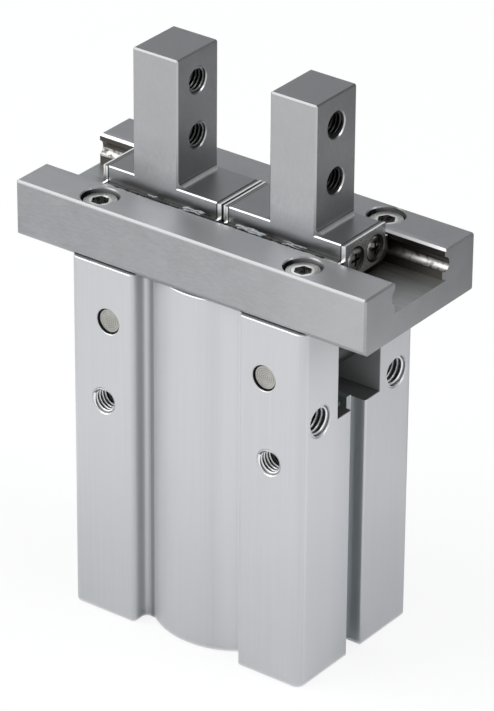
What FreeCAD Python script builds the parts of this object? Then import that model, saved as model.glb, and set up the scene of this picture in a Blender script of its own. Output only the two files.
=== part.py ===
import FreeCAD, Part
import math
import os

# Pneumatic parallel gripper with a long guide rail, fingers closed.
# The origin is at the bottom centre of the housing: X along the rail, -Y the front, +Z up. Millimetres.

# Housing, an aluminium extrusion with a round barrel between two flat columns, front and back
body_length = 52.0
body_depth = 33.8
body_height = 72.0
body_corner_radius = 1.7
body_edge_chamfer = 0.15
barrel_inset = 0.4
column_width = 14.2
flute_depth = 3.5
flute_fillet = 1.2
flute_fillet_most = 0.47
column_edge_fillet = 0.9

# Cylinder bore, opened from below and closed by a cap
bore_diameter = 25.0
bore_depth = 35.5
bore_mouth_chamfer = 0.6
ring_groove_z = 1.7
ring_thickness = 1.2
ring_groove_depth = 0.6
cap_height = 6.1
cap_recess_radius = 8.5
cap_recess_depth = 2.2
seal_height = 2.2
seal_section = 1.6
bumper_height = 0.8
bumper_width = 2.5
closing_bumper_inset = 2.0
opening_bumper_inset = 1.0
ring_inner_inset = 1.4
ring_gap = 5.0

# Piston, rod and their parts
piston_height = 13.0
piston_clearance = 0.1
piston_start_gap = 0.2
rod_diameter = 8.0
rod_spigot_diameter = 6.0
rod_spigot_end_gap = 0.4
rod_flats_overrun = 0.6
rod_eye_thickness = 3.0
magnet_height = 3.4
magnet_section = 2.0
piston_seal_height = 2.8
piston_seal_section = 2.8
nut_across_flats = 10.0
nut_height = 3.2
nut_recess_radius = 6.5
nut_recess_spare = 0.8

# Rod seal and its support, from below in the web over the bore
web_height = 14.1
seal_seat_radius = 7.5
seal_seat_depth = 6.0
rod_seal_height = 2.8
support_height = 2.0
clip_thickness = 0.8
clip_groove_depth = 0.6
clip_inner_inset = 1.0
clip_gap = 3.0

# Side sensor slots, wide outside and narrower at the bottom
slot_width = 4.4
slot_depth = 3.4
slot_inner_width = 2.0
slot_inner_depth = 6.2
slot_lip_fillet = 0.4

# Lever pocket, open to both ends of the housing
pocket_width = 12.9
pocket_depth = 20.8
well_length = 13.0

# Linkage: two bell cranks, closed at one end of their swing and open at the other
finger_travel = 11.0
pivot_spacing = 34.8
pivot_height = 61.1
upper_arm_length = 17.5
lever_shaft_diameter = 4.8
lever_hub_radius = 5.0
lever_tip_radius = 2.9
lever_side_gap = 0.35
upper_arm_width = 8.0
fork_thickness = 4.0
fork_prong_width = 1.8
fork_overhang = 1.67
joint_pin_diameter = 3.0
roller_diameter = 5.0
roller_side_play = 0.15
roller_end_gap = 0.3
roller_end_play = 0.1
shaft_recess = 0.5
shaft_chamfer = 0.2

# Guide rail with a channel and two ball grooves
rail_length = 77.2
rail_width = 33.0
rail_height = 11.0
rail_chamfer = 0.35
rail_underside_chamfer = 0.6
channel_floor_height = 5.0
channel_lip_half_width = 7.6
channel_lower_half_width = 7.3
channel_lip_chamfer_width = 0.5
channel_lip_chamfer_height = 0.35
channel_end_chamfer = 0.5
groove_half_spacing = 7.15
groove_height = 8.2
groove_radius = 1.55
rail_window_corner = 1.0

# Rail screws, M4 socket head
rail_screw_spacing_x = 44.8
rail_screw_spacing_y = 25.0
rail_screw_diameter = 4.0
rail_screw_length = 14.0
rail_screw_head_radius = 3.4
rail_screw_head_height = 4.0
rail_screw_head_chamfer = 0.35
rail_screw_socket = 3.0
rail_screw_socket_depth = 2.0
rail_screw_sink = 0.8
counterbore_radius = 3.5
counterbore_chamfer = 0.2
rail_hole_clearance = 0.15
rail_tap_spare = 1.0

# Fingers
finger_gap = 0.5
base_length = 24.2
base_half_width = 5.95
base_lower_half_width = 7.0
base_rise = 2.5
base_floor_gap = 1.0
base_shoulder_drop = 0.6
base_edge_chamfer = 0.2
prong_offset = 8.7
prong_width = 10.0
prong_height = 24.9
prong_foot_fillet = 1.3
prong_chamfer = 0.3
finger_thread_diameter = 5.0
finger_thread_spacing = 10.75
finger_thread_from_top = 5.75
finger_slot_side_gap = 0.2
finger_slot_width = 8.6
finger_slot_roof_gap = 0.4

# End plates, ball stops and dark seal sheets at both ends of each finger base
end_plate_thickness = 0.4
end_plate_half_width = 6.0
end_plate_corner_radius = 3.1
end_plate_bottom_gap = 0.5
ball_stop_thickness = 0.5
ball_stop_lower_half_width = 7.3
ball_stop_corner_radius = 1.9
ball_stop_top_gap = 0.1
end_seal_thickness = 0.25
end_seal_inset = 0.1
plate_screw_half_spacing = 2.9
plate_screw_drop = 3.85
plate_screw_diameter = 2.5
plate_screw_length = 5.0
plate_screw_end_gap = 0.5
plate_screw_head_radius = 2.25
plate_screw_dome = 0.3
plate_screw_cross_length = 2.6
plate_screw_cross_width = 0.55
plate_screw_cross_depth = 0.8
countersink_radius = 2.5

# Balls
ball_diameter = 3.0
balls_per_row = 5

# Threads for fixing and for air, bored at the thread's outer diameter
port_diameter = 5.0
port_edge = 7.4
port_height = 44.5
port_depth = 6.5
passage_diameter = 2.0
passage_from_end = 9.2
passage_from_front = 4.4
plug_length = 3.0
plug_sink = 0.5
end_thread_diameter = 6.0
end_thread_edge = 5.3
end_thread_height = 53.0
end_thread_depth = 8.0
bottom_thread_diameter = 5.0
bottom_thread_edge_x = 5.0
bottom_thread_edge_y = 5.1
bottom_thread_depth = 8.0
thread_mouth_chamfer = 0.2
drill_tip_angle = 118.0

# Spring rings' lugs, in parts of the ring's width and of the lug's own radius
lug_to_ring_width = 0.9
lug_centre_inset = 1.25
lug_centre_shift = 0.7
lug_hole_to_lug = 0.4

# Play between pieces that are pressed, screwed or seated together, and of turned pieces on their pins
fit = 0.02
running_fit = 0.05

# How far a cut runs past a face, and how closely two places must agree to be the same
cut_margin = 0.1
same_place = 0.01

# Values that follow from the sizes above
half_length = body_length / 2
half_depth = body_depth / 2
barrel_radius = half_depth - barrel_inset
flute_x = half_length - column_width
flute_y = half_depth - flute_depth
barrel_meets_x = math.sqrt(barrel_radius ** 2 - flute_y ** 2)
flute_round = min(flute_fillet, flute_fillet_most * (flute_x - barrel_meets_x))
port_spacing = body_length - 2 * port_edge
end_thread_spacing = body_depth - 2 * end_thread_edge
bottom_thread_spacing_x = body_length - 2 * bottom_thread_edge_x
bottom_thread_spacing_y = body_depth - 2 * bottom_thread_edge_y
passage_half_spacing = half_length - passage_from_end
bore_radius = bore_diameter / 2
pivot_x = pivot_spacing / 2
half_swing = math.degrees(math.asin(finger_travel / 2 / upper_arm_length))
piston_travel = 2 * pivot_x * math.tan(math.radians(half_swing))
pin_height = pivot_height - piston_travel / 2
pin_reach = pivot_x / math.cos(math.radians(half_swing))
fork_slot_width = roller_diameter + 2 * roller_side_play
fork_half_width = fork_slot_width / 2 + fork_prong_width
fork_reach = pin_reach + fork_overhang
fork_slot_start = pivot_x - roller_diameter / 2 - roller_end_gap
lever_half_width = pocket_width / 2 - lever_side_gap
fork_inner_y = rod_eye_thickness / 2 + roller_end_gap
fork_outer_y = fork_inner_y + fork_thickness
pocket_floor = body_height - pocket_depth
web_bottom = bore_depth
web_top = bore_depth + web_height
cap_bottom = ring_groove_z + ring_thickness
cap_top = cap_bottom + cap_height
piston_bottom = cap_top + bumper_height + piston_start_gap
piston_top = piston_bottom + piston_height
piston_radius = bore_radius - piston_clearance
piston_land = (piston_height - magnet_height - piston_seal_height) / 3
magnet_low = piston_bottom + piston_land
piston_seal_low = magnet_low + magnet_height + piston_land
nut_low = piston_bottom + nut_recess_spare
cap_middle = (cap_bottom + cap_top) / 2
seal_seat_top = web_bottom + seal_seat_depth
rod_seal_bottom = seal_seat_top - rod_seal_height
support_bottom = rod_seal_bottom - support_height
clip_bottom = support_bottom - clip_thickness
passage_y = passage_from_front - half_depth
rod_radius = rod_diameter / 2
rod_flats_start = web_top - rod_flats_overrun
rod_eye_top = pin_height + rod_radius
rail_bottom = body_height
rail_top = rail_bottom + rail_height
channel_floor = rail_bottom + channel_floor_height
groove_z = rail_bottom + groove_height
base_top = rail_top + base_rise
base_bottom = channel_floor + base_floor_gap
stack_thickness = end_plate_thickness + ball_stop_thickness + end_seal_thickness
base_inner_x = finger_gap / 2 + stack_thickness
base_outer_x = base_inner_x + base_length
stack_outer_x = base_outer_x + stack_thickness
prong_inner_x = base_inner_x + prong_offset
prong_top = base_top + prong_height
tip_closed_x = pivot_x - finger_travel / 2
tip_top_height = pivot_height + upper_arm_length + lever_tip_radius
plate_screw_z = base_top - plate_screw_drop
screw_seat = rail_top - rail_screw_sink - rail_screw_head_height

X = FreeCAD.Vector(1, 0, 0)
Y = FreeCAD.Vector(0, 1, 0)
Z = FreeCAD.Vector(0, 0, 1)
ORIGIN = FreeCAD.Vector(0, 0, 0)


def at(x, y, z):
    return FreeCAD.Vector(x, y, z)


def block(x, y, z):
    """Block between a low and a high value on each axis."""
    return Part.makeBox(x[1] - x[0], y[1] - y[0], z[1] - z[0], at(x[0], y[0], z[0]))


def ring(outer, inner, low, high):
    """Ring about the bore axis."""
    body = Part.makeCylinder(outer, high - low, at(0, 0, low))
    return body.cut(Part.makeCylinder(inner, high - low, at(0, 0, low)))


def turned(shape):
    """The same piece for the left side, turned half round the bore axis."""
    copy = shape.copy()
    copy.rotate(ORIGIN, Z, 180)
    return copy


def edges_at(shape, picks, along):
    """Straight edges that run along an axis and pass through one of the picked places."""
    found = []
    for edge in shape.Edges:
        box = edge.BoundBox
        spans = {"X": box.XLength, "Y": box.YLength, "Z": box.ZLength}
        if spans.pop(along) < same_place or max(spans.values()) > same_place:
            continue
        middle = edge.CenterOfMass
        for pick in picks:
            if all(abs(a - b) < same_place for a, b in zip(middle, pick) if b is not None):
                found.append(edge)
    return found


def hole(mouth, inward, radius, depth, chamfer):
    """Blind drilled hole with a chamfered mouth and a drill tip."""
    outside = mouth - inward * cut_margin
    tip = radius / math.tan(math.radians(drill_tip_angle / 2))
    bore = Part.makeCylinder(radius, depth + cut_margin, outside, inward)
    point = Part.makeCone(radius, 0, tip, mouth + inward * depth, inward)
    wide = radius + chamfer + cut_margin
    flare = Part.makeCone(wide, radius, chamfer + cut_margin, outside, inward)
    return bore.fuse([point, flare])


def through_hole(start, end, radius, chamfer):
    """Hole right through, with both mouths chamfered."""
    inward = (end - start).normalize()
    length = (end - start).Length
    bore = Part.makeCylinder(radius, length + 2 * cut_margin, start - inward * cut_margin, inward)
    wide = radius + chamfer + cut_margin
    near = Part.makeCone(wide, radius, chamfer + cut_margin, start - inward * cut_margin, inward)
    far = Part.makeCone(wide, radius, chamfer + cut_margin, end + inward * cut_margin, inward * -1)
    return bore.fuse([near, far])


def corners(spacing_x, spacing_y):
    """The four places of a rectangular pattern about the bore axis."""
    return [(sx * spacing_x / 2, sy * spacing_y / 2) for sx in (1, -1) for sy in (-1, 1)]


def extrusion():
    """The housing's outside: the columns' block with the flutes and the round barrel cut into it."""
    body = block((-half_length, half_length), (-half_depth, half_depth), (0, body_height))
    outer = [(sx * half_length, sy * half_depth, None) for sx in (1, -1) for sy in (1, -1)]
    body = body.makeFillet(body_corner_radius, edges_at(body, outer, "Z"))
    barrel = Part.makeCylinder(barrel_radius, body_height)
    for low, high in ((flute_y, half_depth + cut_margin), (-half_depth - cut_margin, -flute_y)):
        flank = block((-flute_x, flute_x), (low, high), (0, body_height))
        body = body.cut(flank.cut(barrel))
    floor_x = (flute_x, barrel_meets_x, -flute_x, -barrel_meets_x)
    floor_corners = [(x, y, None) for x in floor_x for y in (flute_y, -flute_y)]
    body = body.makeFillet(flute_round, edges_at(body, floor_corners, "Z"))
    column_edges = [(sx * flute_x, sy * half_depth, None) for sx in (1, -1) for sy in (1, -1)]
    body = body.makeFillet(column_edge_fillet, edges_at(body, column_edges, "Z"))
    rims = [edge for edge in body.Edges if edge.BoundBox.ZLength < same_place]
    return body.makeChamfer(body_edge_chamfer, rims)


def sensor_slot():
    """Slot down the right end face, from the bottom up into the lever pocket."""
    height = (-cut_margin, pocket_floor + cut_margin)
    outer_x = (half_length - slot_depth, half_length + cut_margin)
    inner_x = (half_length - slot_inner_depth, half_length)
    outer = block(outer_x, (-slot_width / 2, slot_width / 2), height)
    inner = block(inner_x, (-slot_inner_width / 2, slot_inner_width / 2), height)
    return outer.fuse(inner)


def air_passage(side, outlet_height):
    """Drilling from the bottom up to an air port, with a cross hole into the bore."""
    x = side * passage_half_spacing
    radius = passage_diameter / 2
    riser = Part.makeCylinder(radius, port_height + cut_margin, at(x, passage_y, -cut_margin))
    cross_length = math.hypot(x, passage_y) - bore_radius + radius
    cross = Part.makeCylinder(radius, cross_length, at(x, passage_y, outlet_height), at(-x, -passage_y, 0))
    return riser.fuse(cross)


def cylinder_cuts():
    """Bore with its ring groove, and the web's rod hole with the seal's seat and clip groove."""
    below = at(0, 0, -cut_margin)
    flare = bore_mouth_chamfer + cut_margin
    groove_radius_out = bore_radius + ring_groove_depth + fit
    clip_radius_out = seal_seat_radius + clip_groove_depth + fit
    seat_start = at(0, 0, web_bottom - cut_margin)
    return [
        Part.makeCylinder(bore_radius, bore_depth + cut_margin, below),
        Part.makeCone(bore_radius + flare, bore_radius, flare, below),
        Part.makeCylinder(groove_radius_out, ring_thickness + 2 * fit, at(0, 0, ring_groove_z - fit)),
        Part.makeCylinder(rod_radius + running_fit, web_height + 2 * cut_margin, seat_start),
        Part.makeCylinder(seal_seat_radius, seal_seat_depth + cut_margin, seat_start),
        Part.makeCylinder(clip_radius_out, clip_thickness + 2 * fit, at(0, 0, clip_bottom - fit)),
    ]


def pocket_cuts():
    """Lever pocket through to both ends, with the deeper well for the rod in its middle."""
    wide = (-pocket_width / 2, pocket_width / 2)
    long = (-half_length - cut_margin, half_length + cut_margin)
    pocket = block(long, wide, (pocket_floor, body_height + cut_margin))
    well = block((-well_length / 2, well_length / 2), wide, (web_top, pocket_floor + cut_margin))
    return [pocket, well]


def housing():
    cuts = cylinder_cuts() + pocket_cuts()
    cuts += [sensor_slot(), turned(sensor_slot())]
    cuts.append(air_passage(-1, piston_bottom + passage_diameter / 2))
    cuts.append(air_passage(1, bore_depth - passage_diameter))
    for side in (1, -1):
        front_end = at(side * pivot_x, -half_depth, pivot_height)
        rear_end = at(side * pivot_x, half_depth, pivot_height)
        cuts.append(through_hole(front_end, rear_end, lever_shaft_diameter / 2 + fit, shaft_chamfer))
        port = at(side * port_spacing / 2, -half_depth, port_height)
        cuts.append(hole(port, Y, port_diameter / 2, port_depth, thread_mouth_chamfer))
    for y in (-end_thread_spacing / 2, end_thread_spacing / 2):
        mouth = at(half_length, y, end_thread_height)
        cuts.append(hole(mouth, X * -1, end_thread_diameter / 2, end_thread_depth, thread_mouth_chamfer))
    for x, y in corners(bottom_thread_spacing_x, bottom_thread_spacing_y):
        radius = bottom_thread_diameter / 2
        cuts.append(hole(at(x, y, 0), Z, radius, bottom_thread_depth, thread_mouth_chamfer))
    tap_depth = rail_screw_length - (screw_seat - rail_bottom) + rail_tap_spare
    tap_radius = rail_screw_diameter / 2 + fit
    for x, y in corners(rail_screw_spacing_x, rail_screw_spacing_y):
        cuts.append(Part.makeCylinder(tap_radius, tap_depth, at(x, y, body_height), Z * -1))
    body = extrusion().cut(cuts)
    slot_lips = [(sx * half_length, sy * slot_width / 2, None) for sx in (1, -1) for sy in (1, -1)]
    return body.makeFillet(slot_lip_fillet, edges_at(body, slot_lips, "Z"))


def channel_section():
    """Half of the channel's section, from the floor's middle up the right wall."""
    low = groove_z - math.sqrt(groove_radius ** 2 - (channel_lower_half_width - groove_half_spacing) ** 2)
    high = groove_z + math.sqrt(groove_radius ** 2 - (channel_lip_half_width - groove_half_spacing) ** 2)
    lip_out = channel_lip_half_width + channel_lip_chamfer_width
    floor = at(0, 0, channel_floor)
    wall_foot = at(0, channel_lower_half_width, channel_floor)
    groove_foot = at(0, channel_lower_half_width, low)
    groove_deep = at(0, groove_half_spacing + groove_radius, groove_z)
    groove_head = at(0, channel_lip_half_width, high)
    lip_foot = at(0, channel_lip_half_width, rail_top - channel_lip_chamfer_height)
    lip_head = at(0, lip_out, rail_top)
    above = at(0, lip_out, rail_top + cut_margin)
    middle = at(0, 0, rail_top + cut_margin)
    return [
        Part.makeLine(floor, wall_foot),
        Part.makeLine(wall_foot, groove_foot),
        Part.Arc(groove_foot, groove_deep, groove_head).toShape(),
        Part.makeLine(groove_head, lip_foot),
        Part.makeLine(lip_foot, lip_head),
        Part.makeLine(lip_head, above),
        Part.makeLine(above, middle),
    ]


def bar_of_section(half, start_x, length):
    """Straight bar along X from half of its section, mirrored to the other side."""
    edges = half + [edge.mirror(ORIGIN, Y) for edge in half]
    wire = Part.Wire(Part.__sortEdges__(edges))
    wire.translate(X * start_x)
    return Part.Face(wire).extrude(X * length)


def channel_flare():
    """Cut that chamfers the walls of the channel where it opens at the rail's right end."""
    end = rail_length / 2 + cut_margin
    start = rail_length / 2 - channel_end_chamfer
    near = channel_lower_half_width
    far = near + end - start
    corners_xy = [(start, -near), (start, near), (end, far), (end, -far), (start, -near)]
    outline = Part.makePolygon([at(x, y, channel_floor) for x, y in corners_xy])
    return Part.Face(outline).extrude(Z * (rail_top - channel_floor))


def guide_rail():
    half = rail_length / 2
    body = block((-half, half), (-rail_width / 2, rail_width / 2), (rail_bottom, rail_top))
    under = edges_at(body, [(None, y, rail_bottom) for y in (-rail_width / 2, rail_width / 2)], "X")
    body = body.makeChamfer(rail_underside_chamfer, under)
    others = [edge for edge in body.Edges if edge.BoundBox.ZMin > rail_bottom + rail_chamfer]
    body = body.makeChamfer(rail_chamfer, others)
    body = body.cut(bar_of_section(channel_section(), -half - cut_margin, rail_length + 2 * cut_margin))
    reach = lever_tip_radius + lever_side_gap
    window_x = (pivot_x - finger_travel / 2 - reach, pivot_x + finger_travel / 2 + reach)
    window_y = upper_arm_width / 2 + lever_side_gap
    window = block(window_x, (-window_y, window_y), (rail_bottom - cut_margin, channel_floor + cut_margin))
    picks = [(x, y, None) for x in window_x for y in (window_y, -window_y)]
    window = window.makeFillet(rail_window_corner, edges_at(window, picks, "Z"))
    cuts = [window, turned(window), channel_flare(), turned(channel_flare())]
    radius = rail_screw_diameter / 2 + rail_hole_clearance
    sunk = rail_top - screw_seat + cut_margin
    wide = counterbore_radius + counterbore_chamfer
    for x, y in corners(rail_screw_spacing_x, rail_screw_spacing_y):
        chamfer_foot = at(x, y, rail_top - counterbore_chamfer)
        cuts.append(Part.makeCylinder(radius, rail_height, at(x, y, rail_bottom - cut_margin)))
        cuts.append(Part.makeCylinder(counterbore_radius, sunk, at(x, y, screw_seat)))
        cuts.append(Part.makeCone(counterbore_radius, wide, counterbore_chamfer, chamfer_foot))
    return body.cut(cuts)


def hexagon(across_flats, low, high):
    """Hexagonal prism about the Z axis."""
    radius = across_flats / math.sqrt(3)
    angles = [math.radians(60 * i) for i in range(7)]
    points = [at(radius * math.cos(a), radius * math.sin(a), low) for a in angles]
    return Part.Face(Part.makePolygon(points)).extrude(Z * (high - low))


def rail_screw(x, y):
    """Socket head screw, its head sunk into the rail."""
    head = Part.makeCylinder(rail_screw_head_radius, rail_screw_head_height)
    rim = [edge for edge in head.Edges if edge.BoundBox.ZMin > rail_screw_head_height - same_place]
    head = head.makeChamfer(rail_screw_head_chamfer, rim)
    shank = Part.makeCylinder(rail_screw_diameter / 2, rail_screw_length, ORIGIN, Z * -1)
    low = rail_screw_head_height - rail_screw_socket_depth
    socket = hexagon(rail_screw_socket, low, rail_screw_head_height + cut_margin)
    screw = head.fuse(shank).cut(socket)
    screw.translate(at(x, y, screw_seat))
    return screw


def lever_shaft():
    """Pin pressed through both walls of the lever pocket, its ends just below the faces."""
    length = body_depth - 2 * shaft_recess
    pin = Part.makeCylinder(lever_shaft_diameter / 2, length, at(pivot_x, -length / 2, pivot_height), Y)
    rims = [edge for edge in pin.Edges if edge.BoundBox.YLength < same_place]
    return pin.makeChamfer(shaft_chamfer, rims)


def rod_seal():
    return ring(seal_seat_radius - fit, rod_radius + fit, rod_seal_bottom, seal_seat_top)


def seal_support():
    return ring(seal_seat_radius - fit, rod_radius + fit, support_bottom, rod_seal_bottom)


def open_ring(outer, inner, low, high, gap):
    """Spring ring with a gap at the front and two lugs with plier holes."""
    thickness = high - low
    whole = Part.makeCylinder(outer, thickness, at(0, 0, low))
    lug = (outer - inner) * lug_to_ring_width
    lug_y = lug_centre_inset * lug - outer
    lug_x = gap / 2 + lug_centre_shift * lug
    body = ring(outer, inner, low, high)
    cuts = [block((-gap / 2, gap / 2), (-outer - cut_margin, 0), (low - cut_margin, high + cut_margin))]
    for x in (lug_x, -lug_x):
        body = body.fuse(whole.common(Part.makeCylinder(lug, thickness, at(x, lug_y, low))))
        cuts.append(Part.makeCylinder(lug_hole_to_lug * lug, thickness, at(x, lug_y, low)))
    return body.cut(cuts)


def support_clip():
    outer = seal_seat_radius + clip_groove_depth
    return open_ring(outer, seal_seat_radius - clip_inner_inset, clip_bottom, support_bottom, clip_gap)


def retaining_ring():
    outer = bore_radius + ring_groove_depth
    return open_ring(outer, bore_radius - ring_inner_inset, ring_groove_z, cap_bottom, ring_gap)


def end_cap():
    """Turned cap with a seal groove and a recess in its underside."""
    body = Part.makeCylinder(bore_radius - fit, cap_height, at(0, 0, cap_bottom))
    half = seal_height / 2
    groove = ring(bore_radius, bore_radius - seal_section, cap_middle - half, cap_middle + half)
    recess = Part.makeCylinder(cap_recess_radius, cap_recess_depth, at(0, 0, cap_bottom))
    return body.cut([groove, recess])


def cap_seal():
    half = seal_height / 2 - fit
    inner = bore_radius - seal_section + fit
    return ring(bore_radius - fit, inner, cap_middle - half, cap_middle + half)


def closing_bumper():
    outer = bore_radius - closing_bumper_inset
    return ring(outer, outer - bumper_width, cap_top, cap_top + bumper_height)


def opening_bumper():
    outer = bore_radius - opening_bumper_inset
    return ring(outer, outer - bumper_width, web_bottom - bumper_height, web_bottom)


def passage_plug():
    """Plug that closes the lower end of a drilled air passage."""
    lower_end = at(passage_half_spacing, passage_y, plug_sink)
    return Part.makeCylinder(passage_diameter / 2 - fit, plug_length, lower_end)


def piston():
    """Piston with a seal groove over a magnet groove, and a recess for its nut."""
    magnet_groove_floor = piston_radius - magnet_section
    seal_groove_floor = piston_radius - piston_seal_section
    base = at(0, 0, piston_bottom)
    body = Part.makeCylinder(piston_radius, piston_height, base)
    magnet_groove = ring(bore_radius, magnet_groove_floor, magnet_low, magnet_low + magnet_height)
    seal_top = piston_seal_low + piston_seal_height
    seal_groove = ring(bore_radius, seal_groove_floor, piston_seal_low, seal_top)
    nut_recess = Part.makeCylinder(nut_recess_radius, nut_height + nut_recess_spare, base)
    spigot_hole = Part.makeCylinder(rod_spigot_diameter / 2 + fit, piston_height, base)
    return body.cut([magnet_groove, seal_groove, nut_recess, spigot_hole])


def magnet():
    inner = piston_radius - magnet_section + fit
    return ring(piston_radius, inner, magnet_low + fit, magnet_low + magnet_height - fit)


def piston_seal():
    inner = piston_radius - piston_seal_section + fit
    top = piston_seal_low + piston_seal_height - fit
    return ring(bore_radius - running_fit, inner, piston_seal_low + fit, top)


def piston_nut():
    nut = hexagon(nut_across_flats, nut_low, nut_low + nut_height)
    return nut.cut(Part.makeCylinder(rod_spigot_diameter / 2 + fit, nut_height, at(0, 0, nut_low)))


def piston_rod():
    """Rod with a threaded spigot below and a flat eye above."""
    shank = Part.makeCylinder(rod_radius, rod_eye_top - piston_top, at(0, 0, piston_top))
    spigot_low = piston_bottom + rod_spigot_end_gap
    spigot = Part.makeCylinder(rod_spigot_diameter / 2, piston_top - spigot_low, at(0, 0, spigot_low))
    half = rod_eye_thickness / 2
    rod = shank.fuse(spigot)
    for low, high in ((half, rod_radius + cut_margin), (-rod_radius - cut_margin, -half)):
        flat = block((-rod_radius, rod_radius), (low, high), (rod_flats_start, rod_eye_top + cut_margin))
        rod = rod.cut(flat)
    above = block((-rod_radius, rod_radius), (-half, half), (pin_height, rod_eye_top))
    crown = Part.makeCylinder(rod_radius, rod_eye_thickness, at(0, -half, pin_height), Y)
    eye = Part.makeCylinder(joint_pin_diameter / 2 + fit, rod_eye_thickness, at(0, -half, pin_height), Y)
    return rod.cut(above.cut(crown)).cut(eye)


def joint_pin():
    return Part.makeCylinder(joint_pin_diameter / 2, 2 * fork_outer_y, at(0, -fork_outer_y, pin_height), Y)


def pin_roller():
    """Roller on the rear half of the joint pin, inside the right lever's fork."""
    start = at(0, fork_inner_y + roller_end_play, pin_height)
    length = fork_thickness - 2 * roller_end_play
    body = Part.makeCylinder(roller_diameter / 2, length, start, Y)
    return body.cut(Part.makeCylinder(joint_pin_diameter / 2 + running_fit, length, start, Y))


def tapered_bar(reach, radius, tip_radius, half_width):
    """Bar with round ends that rises from the pivot, its sides tangent to both rounds."""
    angle = math.acos((radius - tip_radius) / reach)
    foot_x = radius * math.sin(angle)
    foot_z = radius * math.cos(angle)
    head_x = tip_radius * math.sin(angle)
    head_z = reach + tip_radius * math.cos(angle)
    start = -half_width
    right_foot = at(foot_x, start, foot_z)
    right_head = at(head_x, start, head_z)
    left_head = at(-head_x, start, head_z)
    left_foot = at(-foot_x, start, foot_z)
    edges = [
        Part.makeLine(right_foot, right_head),
        Part.Arc(right_head, at(0, start, reach + tip_radius), left_head).toShape(),
        Part.makeLine(left_head, left_foot),
        Part.Arc(left_foot, at(0, start, -radius), right_foot).toShape(),
    ]
    return Part.Face(Part.Wire(edges)).extrude(Y * (2 * half_width))


def lever():
    """Bell crank of the right side: hub, upper arm for the finger and fork for the joint pin's roller."""
    hub_start = at(0, -lever_half_width, 0)
    hub_length = 2 * lever_half_width
    hub = Part.makeCylinder(lever_hub_radius, hub_length, hub_start, Y)
    bore = Part.makeCylinder(lever_shaft_diameter / 2 + running_fit, hub_length, hub_start, Y)
    upper_arm = tapered_bar(upper_arm_length, lever_hub_radius, lever_tip_radius, upper_arm_width / 2)
    arm = block((-fork_reach, 0), (fork_inner_y, fork_outer_y), (-fork_half_width, fork_half_width))
    tips = [(-fork_reach, None, fork_half_width), (-fork_reach, None, -fork_half_width)]
    arm = arm.makeChamfer(fork_prong_width / 2, edges_at(arm, tips, "Y"))
    half_slot = fork_slot_width / 2
    slot_low = fork_inner_y - cut_margin
    slot_high = fork_outer_y + cut_margin
    slot_end_x = -fork_slot_start - half_slot
    slot_end = Part.makeCylinder(half_slot, slot_high - slot_low, at(slot_end_x, slot_low, 0), Y)
    slot = block((-fork_reach - cut_margin, slot_end_x), (slot_low, slot_high), (-half_slot, half_slot))
    crank = hub.fuse([upper_arm, arm]).cut([slot, slot_end, bore])
    crank.rotate(ORIGIN, Y, -half_swing)
    crank.translate(at(pivot_x, 0, pivot_height))
    return crank


def base_section():
    """Half of the finger base's section, down the right side from the top's middle."""
    reach = math.sqrt(groove_radius ** 2 - (groove_half_spacing - base_lower_half_width) ** 2)
    shoulder = rail_top - base_shoulder_drop
    chamfer = base_edge_chamfer
    points = [
        (0, base_top),
        (base_half_width - chamfer, base_top),
        (base_half_width, base_top - chamfer),
        (base_half_width, shoulder),
        (base_lower_half_width - chamfer, shoulder),
        (base_lower_half_width, shoulder - chamfer),
        (base_lower_half_width, groove_z + reach),
    ]
    lower = [
        (base_lower_half_width, groove_z - reach),
        (base_lower_half_width, base_bottom + chamfer),
        (base_lower_half_width - chamfer, base_bottom),
        (0, base_bottom),
    ]
    upper_points = [at(0, y, z) for y, z in points]
    lower_points = [at(0, y, z) for y, z in lower]
    deep = at(0, groove_half_spacing - groove_radius, groove_z)
    edges = [Part.makeLine(a, b) for a, b in zip(upper_points, upper_points[1:])]
    edges.append(Part.Arc(upper_points[-1], deep, lower_points[0]).toShape())
    edges += [Part.makeLine(a, b) for a, b in zip(lower_points, lower_points[1:])]
    return edges


def prong():
    """Upright block of the right finger, before its foot is rounded into the base."""
    prong_x = (prong_inner_x, prong_inner_x + prong_width)
    prong_y = (-base_half_width, base_half_width)
    body = block(prong_x, prong_y, (base_top - base_edge_chamfer, prong_top))
    uprights = edges_at(body, [(x, y, None) for x in prong_x for y in prong_y], "Z")
    top_ends = edges_at(body, [(x, None, prong_top) for x in prong_x], "Y")
    top_sides = edges_at(body, [(None, y, prong_top) for y in prong_y], "X")
    return body.makeChamfer(prong_chamfer, uprights + top_ends + top_sides)


def plate_screw_holes():
    """Tapped holes in both ends of the right finger's base, with mouths wide enough for the heads."""
    cuts = []
    radius = plate_screw_diameter / 2 + fit
    flare = countersink_radius - radius - stack_thickness + 2 * fit
    for y in (-plate_screw_half_spacing, plate_screw_half_spacing):
        for x, inward in ((base_inner_x, X), (base_outer_x, X * -1)):
            mouth = at(x, y, plate_screw_z)
            cuts.append(Part.makeCylinder(radius, plate_screw_length, mouth, inward))
            cuts.append(Part.makeCone(radius + flare, radius, flare, mouth, inward))
    return cuts


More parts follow.
